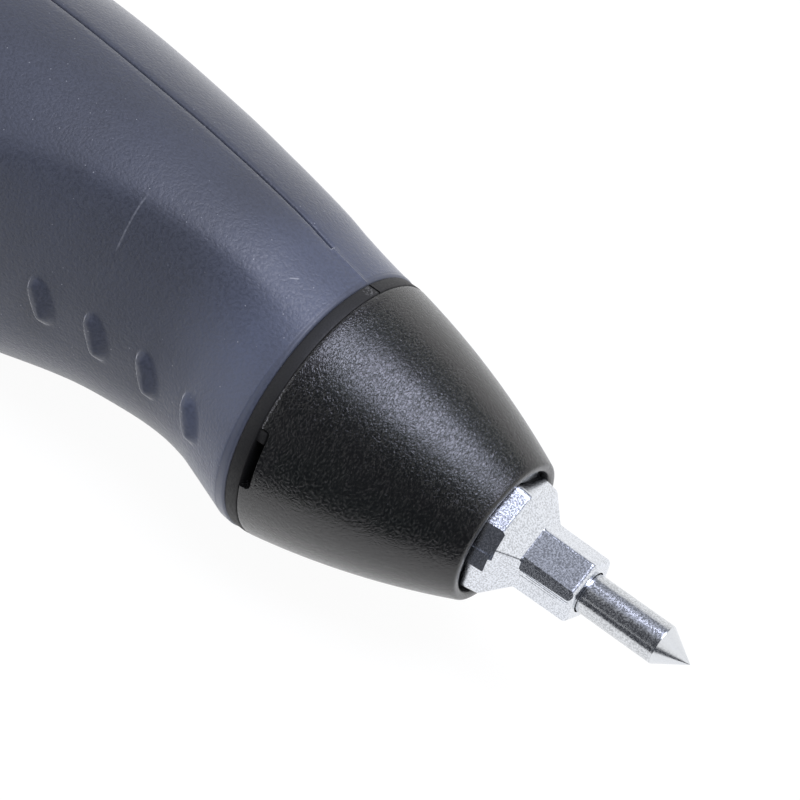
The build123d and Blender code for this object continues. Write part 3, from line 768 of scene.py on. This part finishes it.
finishes = {slot: finishPlain(slot, look, plainMottle) for slot, look in plainLooks.items()}
finishes["housing_plastic"] = finishHousing(housingFinish)
finishes["nose_plastic"] = finishNose(noseFinish)
finishes["collar_plastic"] = finishCollar(collarFinish)
finishes["die_cast"] = finishCast(castFinish)
finishes["tool_steel"] = finishPoint(pointFinish)
for node in frame["nodes"].values():
    for place, old in enumerate(node.data.materials):
        node.data.materials[place] = finishes[old.name]
print("finishes mixed for", len(finishes), "slots")


# Housing skin: setback behind the front edge, radius over the top, radius under the flanks, in millimetres
housingLook = {
    "stations": [
        (0.0, 14.1, 14.1),
        (5.2, 15.27, 12.68),
        (8.0, 16.05, 11.85),
        (11.5, 16.8, 11.4),
        (16.0, 17.6, 11.52),
        (23.4, 18.7, 12.45),
        (40.6, 20.4, 16.5),
        (62.7, 20.9, 18.3),
        (98.7, 18.6, 16.4),
        (122.7, 16.5, 15.2),
        (130.2, 14.0, 13.4),
        (133.7, 11.0, 10.8),
    ],
    "crease": 31.2,              # degrees from the top, near the front
    "creaseFall": 0.0238,        # how fast the crease falls towards the flank
    "creaseStart": 6.7,
    "creaseEnd": 35.7,
    "creaseSoft": 0.0006,
    "creaseSpread": 0.00012,
    "flank": 105,
    "landTop": 0.4,              # smooth land along the front edge
    "landFlank": 1.2,
    "landTurns": (20, 100),      # degrees from the top between which it widens
    "landSlope": 0.3,            # how steep the land is beside the flare behind it
    "wall": 1.5,
    "ahead": 0.7,                # front edge before the one of the solid halves
    "frontRound": 0.3,
    "frontBore": 9.1,
    "boreDepth": 10,
    "rearRound": 0.9,
    "rearHole": 6.0,
    "rearWall": 3,
    "roundSteps": 5,
    "rowSteps": [(2.5, 0.3), (32.5, 0.15), (44, 0.4), (140, 1.1)],
    "innerStep": 4,
    "turnSteps": [(68, 1.5), (126, 0.6), (177, 1.5)],
    "seamEdge": 3,               # degrees beside the seam that its own columns take
    "seamColumns": (-1, 0, 0.35, 1),    # groove floor, then places over the rounded edge
    "seamGap": 0.25,
    "seamStart": 4.6,
    "seamRound": 0.16,
    "seamSink": 0.8,
    "shutGap": 0.008,            # half gap ahead of the seam, where the halves meet
    "grooveFloor": 0.004,
    "flash": 0.05,
    "restDrop": 16.5,
    "wheelWidth": 9.0,           # rim of the stroke wheel, without the journal behind it
    "scallopRadius": 30,
    "scallopFloor": 12.4,
    "scallopWall": 1.6,
    "nubCount": 5,
    "nubFirst": 6.13,
    "nubSpacing": 6.16,
    "nubLength": 5.5,
    "nubWidth": 2.8,
    "nubProud": 0.75,
    "nubSlopes": (0.5, 1.2, 0.75),    # shares of half width or length taken by rear, front and end slopes
    "nubCrown": 0.3,
    "nubFlat": 0.55,             # how far the face stays upright where the skin falls away
    "nubSlant": 23,
    "nubDrop": 0.9,
    "nubClimb": 0.5,
    "nubTurns": (55, 135),
    "searchStep": 0.25,
    "smoothAngle": 32,
}


def between(value, low, high):
    return min(max(value, low), high)


# Radii of the skin at one setback, on a smooth curve through the stations
def skinRadii(look, setback):
    stations = look["stations"]
    last = len(stations) - 1
    place = 0
    while place < last - 1 and setback > stations[place + 1][0]:
        place += 1
    before, start, end, after = (stations[between(place + step, 0, last)] for step in (-1, 0, 1, 2))
    length = end[0] - start[0]
    share = between((setback - start[0]) / length, 0, 1)
    radii = []
    for item in (1, 2):
        leave = (end[item] - before[item]) / (end[0] - before[0]) * length
        arrive = (after[item] - start[item]) / (after[0] - start[0]) * length
        rise = end[item] - start[item]
        bend = (leave + arrive - 2 * rise) * share + 3 * rise - 2 * leave - arrive
        radii.append(start[item] + share * (leave + share * bend))
    return radii


# Radius of the skin at one setback and one turn from the top
def skinRadius(look, setback, turn):
    low, high = look["landTurns"]
    widening = between((turn - low) / (high - low), 0, 1)
    land = look["landTop"] + (look["landFlank"] - look["landTop"]) * widening
    flare = look["stations"][1][0]
    if setback < land:
        setback *= look["landSlope"]
    elif setback < flare:
        setback = flare - (flare - setback) * (flare - land * look["landSlope"]) / (flare - land)
    over, under = skinRadii(look, setback)
    back = between(setback, look["creaseStart"], look["creaseEnd"]) - look["creaseStart"]
    crease = look["crease"] + look["creaseFall"] * back ** 2
    fall = (turn - crease) / (look["flank"] - crease)
    soft = look["creaseSoft"] + look["creaseSpread"] * setback
    fade = min((fall + sqrt(fall ** 2 + soft)) / 2, 1)
    return under + (over - under) * (1 - fade) ** 2


# Closed lengthwise outline of the shell: setback, depth under the skin, fixed radius or none, outside or not
def shellRows(look):
    length = look["stations"][-1][0]
    front, rear, bore = look["frontRound"], look["rearRound"], look["boreDepth"]
    inner = length - look["rearWall"]
    turns = [radians(90 * step / look["roundSteps"]) for step in range(look["roundSteps"] + 1)]
    rows = [(0, 0, look["frontBore"], False)]
    rows += [(front * (1 - cos(turn)), front * (1 - sin(turn)), None, True) for turn in turns]
    setback = front
    for end, step in look["rowSteps"]:
        while setback + step < min(end, length - rear):
            setback += step
            rows.append((setback, 0, None, True))
    rows += [(length - rear + rear * sin(turn), rear * (1 - cos(turn)), None, True) for turn in turns]
    rows += [(length, 0, look["rearHole"], False), (inner, 0, look["rearHole"], False)]
    while inner > bore + look["innerStep"]:
        rows.append((inner, look["wall"], None, False))
        inner -= look["innerStep"]
    rows += [(bore, look["wall"], None, False), (bore, 0, look["frontBore"], False), rows[0]]
    return rows


# Columns round the half: turn, and the place over a seam's edge or none
def shellColumns(look):
    turn = look["seamEdge"]
    middle = []
    for end, step in look["turnSteps"]:
        while turn < end:
            middle.append((turn, None))
            turn += step
    top = [(0, share) for share in look["seamColumns"]]
    below = [(180, share) for share in reversed(look["seamColumns"])]
    return top + middle + below


# How far the skin reaches out at one place of the flank
def flankReach(look, setback, height):
    turn = 0
    while skinRadius(look, setback, turn) * cos(radians(turn)) > height:
        turn += look["searchStep"]
    return skinRadius(look, setback, turn) * sin(radians(turn))


# Grip nubs: leaves with a sloped edge, given as setback, height and reach of their middles
def nubPlaces(look):
    places = []
    for number in range(look["nubCount"]):
        setback = look["nubFirst"] + number * look["nubSpacing"]
        height = number * look["nubClimb"] - look["nubDrop"]
        places.append((setback, height, flankReach(look, setback, height)))
    return places


def ease(share):
    share = between(share, 0, 1)
    return share ** 2 * (3 - 2 * share)


# Skin at one place of the flank, with the nub that stands there
def overNubs(look, places, setback, y, height):
    slant = radians(look["nubSlant"])
    rear, front, ends = look["nubSlopes"]
    for middle, level, reach in places:
        back = setback - middle
        up = height - level
        along = 2 * (up * cos(slant) + back * sin(slant)) / look["nubLength"]
        slender = 1 - along ** 2
        if slender <= 0:
            continue
        aside = 2 * (back * cos(slant) - up * sin(slant)) / look["nubWidth"] / sqrt(slender)
        if abs(aside) < 1:
            edge = ease((1 - aside) / rear) * ease((1 + aside) / front) * ease(slender / ends)
            crown = look["nubCrown"] * (aside ** 2 + min(along, 0) ** 2)
            proud = look["nubProud"] * (1 - crown) + look["nubFlat"] * max(reach - y, 0)
            return y + proud * edge
    return y


def skinPoint(look, nubs, side, row, column, frontX, wheelX):
    setback, depth, fixed, outside = row
    turn, share = column
    radius = fixed or skinRadius(look, setback, turn) - depth
    y = radius * sin(radians(turn))
    z = radius * cos(radians(turn))
    parted = setback > look["seamStart"]
    gap = look["seamGap"] / 2 if parted else look["shutGap"]
    if share is not None:
        y = gap + max(share, 0) * look["seamRound"]
        sink = look["seamSink"] * look["seamRound"] * (1 - share) ** 2
        lift = -sink if parted else look["flash"] * (1 - abs(share))
        z += lift * cos(radians(turn)) * outside
    y = look["grooveFloor"] if share == -1 else max(y, gap)
    if fixed is None:
        away = (frontX - wheelX) / mm - setback
        scallop = look["scallopRadius"]
        if abs(away) < scallop:
            floor = look["scallopFloor"] + scallop - sqrt(scallop ** 2 - away ** 2)
            y = min(y, floor if outside else floor - look["scallopWall"])
        z = max(z, -look["restDrop"] if outside else look["wall"] - look["restDrop"])
        if outside and look["nubTurns"][0] < turn < look["nubTurns"][1]:
            y = overNubs(look, nubs, setback, y, z)
    return (frontX - setback * mm, side * y * mm, z * mm)


# Close the open edges along the upper or the lower seam
def closeSeam(half, upper):
    openMesh(half, "EDGE")
    bpy.ops.mesh.select_all(action="DESELECT")
    bpy.ops.mesh.select_non_manifold(extend=False, use_wire=False, use_multi_face=False)
    closeMesh()
    for edge in half.data.edges:
        ends = [half.data.vertices[end].co for end in edge.vertices]
        edge.select = edge.select and all((end.z > 0) == upper for end in ends)
    openMesh(half, "EDGE")
    bpy.ops.mesh.fill(use_beauty=False)
    closeMesh()


# Half shell: a sheet laid along the outline and round the turn, then closed along both seams
def housingHalf(name, look, side):
    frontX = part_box("housing_left")[1].x + look["ahead"] * mm
    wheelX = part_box("stroke_wheel")[1].x - look["wheelWidth"] / 2 * mm
    rows, columns, nubs = shellRows(look), shellColumns(look), nubPlaces(look)
    wide, long = len(columns) - 1, len(rows) - 1
    deselectAll()
    bpy.ops.mesh.primitive_grid_add(x_subdivisions=wide, y_subdivisions=long, size=1)
    half = bpy.context.active_object
    half.name = name
    for vertex in half.data.vertices:
        column = columns[round((vertex.co.x + 0.5) * wide)]
        row = rows[round((vertex.co.y + 0.5) * long)]
        vertex.co = skinPoint(look, nubs, side, row, column, frontX, wheelX)
    tidyMesh(half)
    closeSeam(half, True)
    closeSeam(half, False)
    tidyMesh(half)
    return half


# Openings of the shell: wheel windows, switch recess and its slot, screw wells on the far side
openings = {
    "wheelGap": 0.3,
    "wheelSlack": 0.1,
    "recess": ((-121.3, -4.5, 18.2), (-104.7, 4.5, 25)),
    "slot": ((-117.3, -1.8, 10), (-108.7, 1.8, 25)),
    "screws": [(-52, 10.6), (-108.5, -11), (-151.5, 8.6), (-151.5, -9)],
    "wellRadius": 3.0,
    "wellFloor": 6,
    "wellTop": 25,
}


# Bar across the tool, from one y to another
def crossBar(place, radius, near, far, sides=64):
    deselectAll()
    bpy.ops.mesh.primitive_cylinder_add(
        vertices=sides,
        radius=radius * mm,
        depth=(far - near) * mm,
        location=(place[0] * mm, (near + far) / 2 * mm, place[1] * mm),
        rotation=(pi / 2, 0, 0),
    )
    return bpy.context.active_object


def openHalf(half, look, side):
    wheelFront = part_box("stroke_wheel")[1]
    radius = wheelFront.z / mm + look["wheelGap"]
    front = wheelFront.x / mm + look["wheelSlack"]
    rear = front - housingLook["wheelWidth"] - 2 * look["wheelSlack"]
    if side > 0:
        for place in look["screws"]:
            well = crossBar(place, look["wellRadius"], look["wellFloor"], look["wellTop"])
            combine(half, [well], "DIFFERENCE")
    combine(half, [axisBar(radius, front, rear)], "DIFFERENCE")
    combine(half, [boxBetween(*look["recess"]), boxBetween(*look["slot"])], "DIFFERENCE")
    smoothByAngle(half, housingLook["smoothAngle"])


for halfName, node, side in (("leftHalf", "housing_left", -1), ("rightHalf", "housing_right", 1)):
    half = housingHalf(halfName, housingLook, side)
    openHalf(half, openings, side)
    mount(half, "housing", [node], finishes["housing_plastic"])

# Nose cone, in millimetres: outline points as x and radius
noseLook = {
    "rear": (-29.9, 13.95),
    "middle": (-20.05, 11.48),
    "lip": (-9.6, 7.45),
    "lipRound": 0.4,
    "lipFit": (0.75, 0.65, 66),      # trim and sink in shares of the round, and turn, where it meets the cone
    "lipBore": 6.6,
    "lipBoreRound": 0.25,
    "boreTrim": 1.5,
    "shelf": (-24.5, 10.4),
    "innerBulge": 0.35,
    "socket": 10.9,
    "grooveRadius": 11.8,
    "groove": (-26.0, -28.2),
    "rearRound": 0.18,
    "rearFit": (1.5, 1.3, 80),
    "notch": ((-30.4, -20, -2.75), (-28.8, -8, 3.9)),
    "notchRound": 0.5,
    "outerSteps": 60,
    "innerSteps": 24,
    "steps": 224,
    "smoothAngle": 32,
}


def noseOutline(look):
    lipX, lipRadius = look["lip"]
    rearX, rearRadius = look["rear"]
    shelfX, shelfRadius = look["shelf"]
    start, end = look["lipRound"], look["rearRound"]
    lipTrim, lipSink, lipTurn = look["lipFit"]
    rearTrim, rearSink, rearTurn = look["rearFit"]
    outer = arcThrough(look["rear"], look["middle"], look["lip"], look["outerSteps"])
    outline = [point for point in outer if rearX + rearTrim * end < point[0] < lipX - lipTrim * start]
    outline += corner((lipX - start, lipRadius - lipSink * start), start, lipTurn, 0, 6)
    start = look["lipBoreRound"]
    outline += corner((lipX - start, look["lipBore"] + start), start, 0, -90, 4)
    through = ((lipX + shelfX) / 2, (look["lipBore"] + shelfRadius) / 2 + look["innerBulge"])
    inner = arcThrough((lipX, look["lipBore"]), through, look["shelf"], look["innerSteps"])
    outline += [point for point in inner if point[0] < lipX - look["boreTrim"] * start]
    grooveFront, grooveRear = look["groove"]
    outline += [(shelfX, look["socket"]), (grooveFront, look["socket"]), (grooveFront, look["grooveRadius"])]
    outline += [(grooveRear, look["grooveRadius"]), (grooveRear, look["socket"]), (rearX, look["socket"])]
    outline += corner((rearX + end, rearRadius - rearSink * end), end, 180, rearTurn, 4)
    return outline + outline[:1]


# Box whose front corners, at both ends of its height, are rounded
def roundedBox(low, high, radius):
    box = boxBetween(low, high)
    vertices = box.data.vertices
    near = 0.01 * mm
    deselectAll()
    for edge in box.data.edges:
        first, second = (box.matrix_world @ vertices[end].co for end in edge.vertices)
        ahead = all(abs(end.x - high[0] * mm) < near for end in (first, second))
        edge.select = ahead and abs(first.y - second.y) > near
    for face in box.data.polygons:
        face.select = False
    openMesh(box, "EDGE")
    bpy.ops.mesh.bevel(offset=radius * mm, segments=5)
    closeMesh()
    return box


nose = turnedPiece("noseCone", noseOutline(noseLook), noseLook["steps"])
combine(nose, [roundedBox(*noseLook["notch"], noseLook["notchRound"])], "DIFFERENCE")
smoothByAngle(nose, noseLook["smoothAngle"])
mount(nose, "nose", ["nose_cone"], finishes["nose_plastic"])

# Bearing carrier: its collar ring shows between nose and housing
carrierLook = {
    "ahead": [
        (-28, 3.3), (-27, 3.3), (-27, 6.2), (-29.9, 6.2),
        (-29.9, 9.15), (-24.8, 9.15), (-24.8, 10.85), (-29.9, 10.85),
    ],
    "behind": [
        (-31.3, 9), (-36, 9), (-36, 7.6), (-38, 7.6),
        (-38, 9), (-41, 9), (-41, 4.5), (-28, 4.5),
    ],
    "ring": (-29.9, -31.3, 13.95),
    "ringRound": 0.16,
    "tab": ((-31.2, -13.3, 2.15), (-28.95, -11.0, 3.75)),
    "tabRound": 0.45,
    "parting": ((-32, 0.02, 12.9), (-29.5, 0.24, 15)),
    "steps": 224,
    "smoothAngle": 32,
}


def carrierOutline(look):
    front, rear, radius = look["ring"]
    edge = look["ringRound"]
    ring = corner((front - edge, radius - edge), edge, 0, 90, 4)
    ring += corner((rear + edge, radius - edge), edge, 90, 180, 4)
    outline = look["ahead"] + ring + look["behind"]
    return outline + outline[:1]


carrier = turnedPiece("bearingCarrier", carrierOutline(carrierLook), carrierLook["steps"])
combine(carrier, [boxBetween(*carrierLook["parting"])], "DIFFERENCE")
combine(carrier, [roundedBox(*carrierLook["tab"], carrierLook["tabRound"])], "UNION")
smoothByAngle(carrier, carrierLook["smoothAngle"])
mount(carrier, "housing", ["bearing_carrier"], finishes["collar_plastic"])

# Bit holder: hexagon sections from the front, as x and width across flats
holderLook = {
    "neck": 6.2,
    "neckDraft": 0.12,
    "neckRound": 0.5,
    "neckSteps": 6,
    "neckFoot": ((0.05, 0), (-0.1, 0.12)),    # x and extra width beside the start of the taper
    "taper": (-5.9, -8.0),
    "flange": (10.6, 11.1),
    "draft": 1.9,
    "flangeRear": -11.8,
    "turn": 42,
    "edgeRound": 0.18,
    "rimLeans": (16, 23, 30, 37),    # small faces that round the edge between rim and taper
    "rimStep": 0.08,
    "collar": (6.2, -10.4),
    "collarSink": 0.1,
    "stemRadius": 4.4,
    "stemRear": -20.8,
    "stemSink": 1,
    "bore": 2.14,
    "boreDepth": 1.2,
    "boreSides": 64,
    # Cuts: turn of the face, its lean forwards, distance from the axis, spans across and along the axis
    "cuts": [
        (172, 10, 4.95, (-4, 0.2), (-11.5, -7.9)),
        (168, 10, 5.1, (0.2, 2.4), (-11.5, -8.2)),
        (175, 0, 3.24, (-2, 2), (-5.85, 1)),
        (192, 0, 3.04, (-0.75, -0.66), (-5.7, -0.4)),
        (192, 0, 3.05, (-0.5, -0.44), (-5.0, -0.7)),
        (192, 0, 3.05, (-0.2, -0.15), (-5.6, -1.6)),
    ],
    "smoothAngle": 6,
}


# Box outside a plane beside the axis, which cuts a piece back to that plane
def planeCut(turn, lean, distance, across, along, height=4):
    facing = Matrix.Rotation(radians(turn), 3, "X") @ Matrix.Rotation(-radians(lean), 3, "Z")
    turn = radians(turn)
    out, aside = Vector((0, cos(turn), sin(turn))), Vector((0, -sin(turn), cos(turn)))
    foot = out * distance + aside * sum(across) / 2 + Vector((sum(along) / 2, 0, 0))
    middle = foot + facing @ Vector((0, height / 2, 0))
    deselectAll()
    bpy.ops.mesh.primitive_cube_add(size=1, location=middle * mm, rotation=facing.to_euler())
    box = bpy.context.active_object
    box.scale = ((along[1] - along[0]) * mm, height * mm, (across[1] - across[0]) * mm)
    return box


def hexSections(look):
    edge, steps = look["neckRound"], look["neckSteps"]
    turns = [radians(90 - 90 * step / steps) for step in range(steps + 1)]
    front = [(edge * (sin(turn) - 1), look["neck"] - 2 * edge * (1 - cos(turn))) for turn in turns]
    start, end = look["taper"]
    wide = look["neck"] + look["neckDraft"]
    foot = [(start + ahead, wide + extra) for ahead, extra in look["neckFoot"]]
    rim = [
        (end - len(look["rimLeans"]) * look["rimStep"], look["flange"][0]),
        (end - look["draft"], look["flange"][1]),
        (look["flangeRear"], look["flange"][1]),
    ]
    for lean in look["rimLeans"]:
        x, width = rim[0]
        rim.insert(0, (x + look["rimStep"], width - 2 * look["rimStep"] * tan(radians(lean))))
    return front + foot + rim


def bitHolder(look):
    facing = Matrix.Rotation(radians(look["turn"]), 3, "X") @ Matrix.Rotation(pi / 2, 3, "Y")
    sections = hexSections(look)
    deselectAll()
    bpy.ops.mesh.primitive_circle_add(
        vertices=6,
        radius=sections[0][1] / 2 / cos(pi / 6) * mm,
        fill_type="NGON",
        location=(sections[0][0] * mm, 0, 0),
        rotation=facing.to_euler(),
    )
    piece = bpy.context.active_object
    piece.name = "bitHolder"
    bpy.ops.object.transform_apply(location=True, rotation=True, scale=True)
    openMesh(piece)
    bpy.ops.mesh.select_all(action="SELECT")
    bpy.ops.mesh.bevel(affect="VERTICES", offset=look["edgeRound"] * mm, segments=4)
    bpy.ops.mesh.select_all(action="SELECT")
    for before, after in zip(sections, sections[1:]):
        step = ((after[0] - before[0]) * mm, 0, 0)
        bpy.ops.mesh.extrude_region_move(TRANSFORM_OT_translate={"value": step})
        share = after[1] / before[1]
        bpy.ops.transform.resize(value=(1, share, share))
    closeMesh()
    tidyMesh(piece)
    rear = look["flangeRear"]
    combine(piece, [axisBar(look["stemRadius"], rear + look["stemSink"], look["stemRear"])], "UNION")
    combine(piece, [axisBar(*look["collar"], rear + look["collarSink"])], "UNION")
    combine(piece, [axisBar(look["bore"], 1, -look["boreDepth"], look["boreSides"])], "DIFFERENCE")
    for cut in look["cuts"]:
        combine(piece, [planeCut(*cut)], "DIFFERENCE")
    tidyMesh(piece)
    return piece


holder = bitHolder(holderLook)
smoothByAngle(holder, holderLook["smoothAngle"])
mount(holder, "striker", ["bit_holder"], finishes["die_cast"])

# Engraving point: outline points as x and radius
pointLook = {
    "tail": -1,
    "radius": 2,
    "shoulder": 8.3,
    "edge": 0.1,
    "edgeBulge": 0.3,
    "tip": 11.3,
    "tipRadius": 0.06,
    "steps": 96,
    "smoothAngle": 10,
}


def pointOutline(look):
    radius, edge = look["radius"], look["edge"]
    return [
        (look["tail"], 0),
        (look["tail"], radius - edge),
        (look["tail"] + edge, radius),
        (look["shoulder"] - edge, radius),
        (look["shoulder"], radius - look["edgeBulge"] * edge),
        (look["shoulder"] + edge, radius - edge),
        (look["tip"] - look["tipRadius"], look["tipRadius"]),
        (look["tip"], 0),
    ]


point = turnedPiece("engravingPoint", pointOutline(pointLook), pointLook["steps"])
smoothByAngle(point, pointLook["smoothAngle"])
mount(point, "striker", ["engraving_point"], finishes["tool_steel"])

# Return spring: a copy of the solid one
springLook = {
    "endTurn": 0.6,
    "smoothAngle": 40,
}


def closingSpring(look):
    spring = bpy.data.objects.new("returnSpring", frame["nodes"]["return_spring"].data.copy())
    bpy.context.scene.collection.objects.link(spring)
    tidyMesh(spring)
    smoothByAngle(spring, look["smoothAngle"])
    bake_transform(spring)
    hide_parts("return_spring")


closingSpring(springLook)

bpy.context.scene.view_settings.view_transform = "Standard"
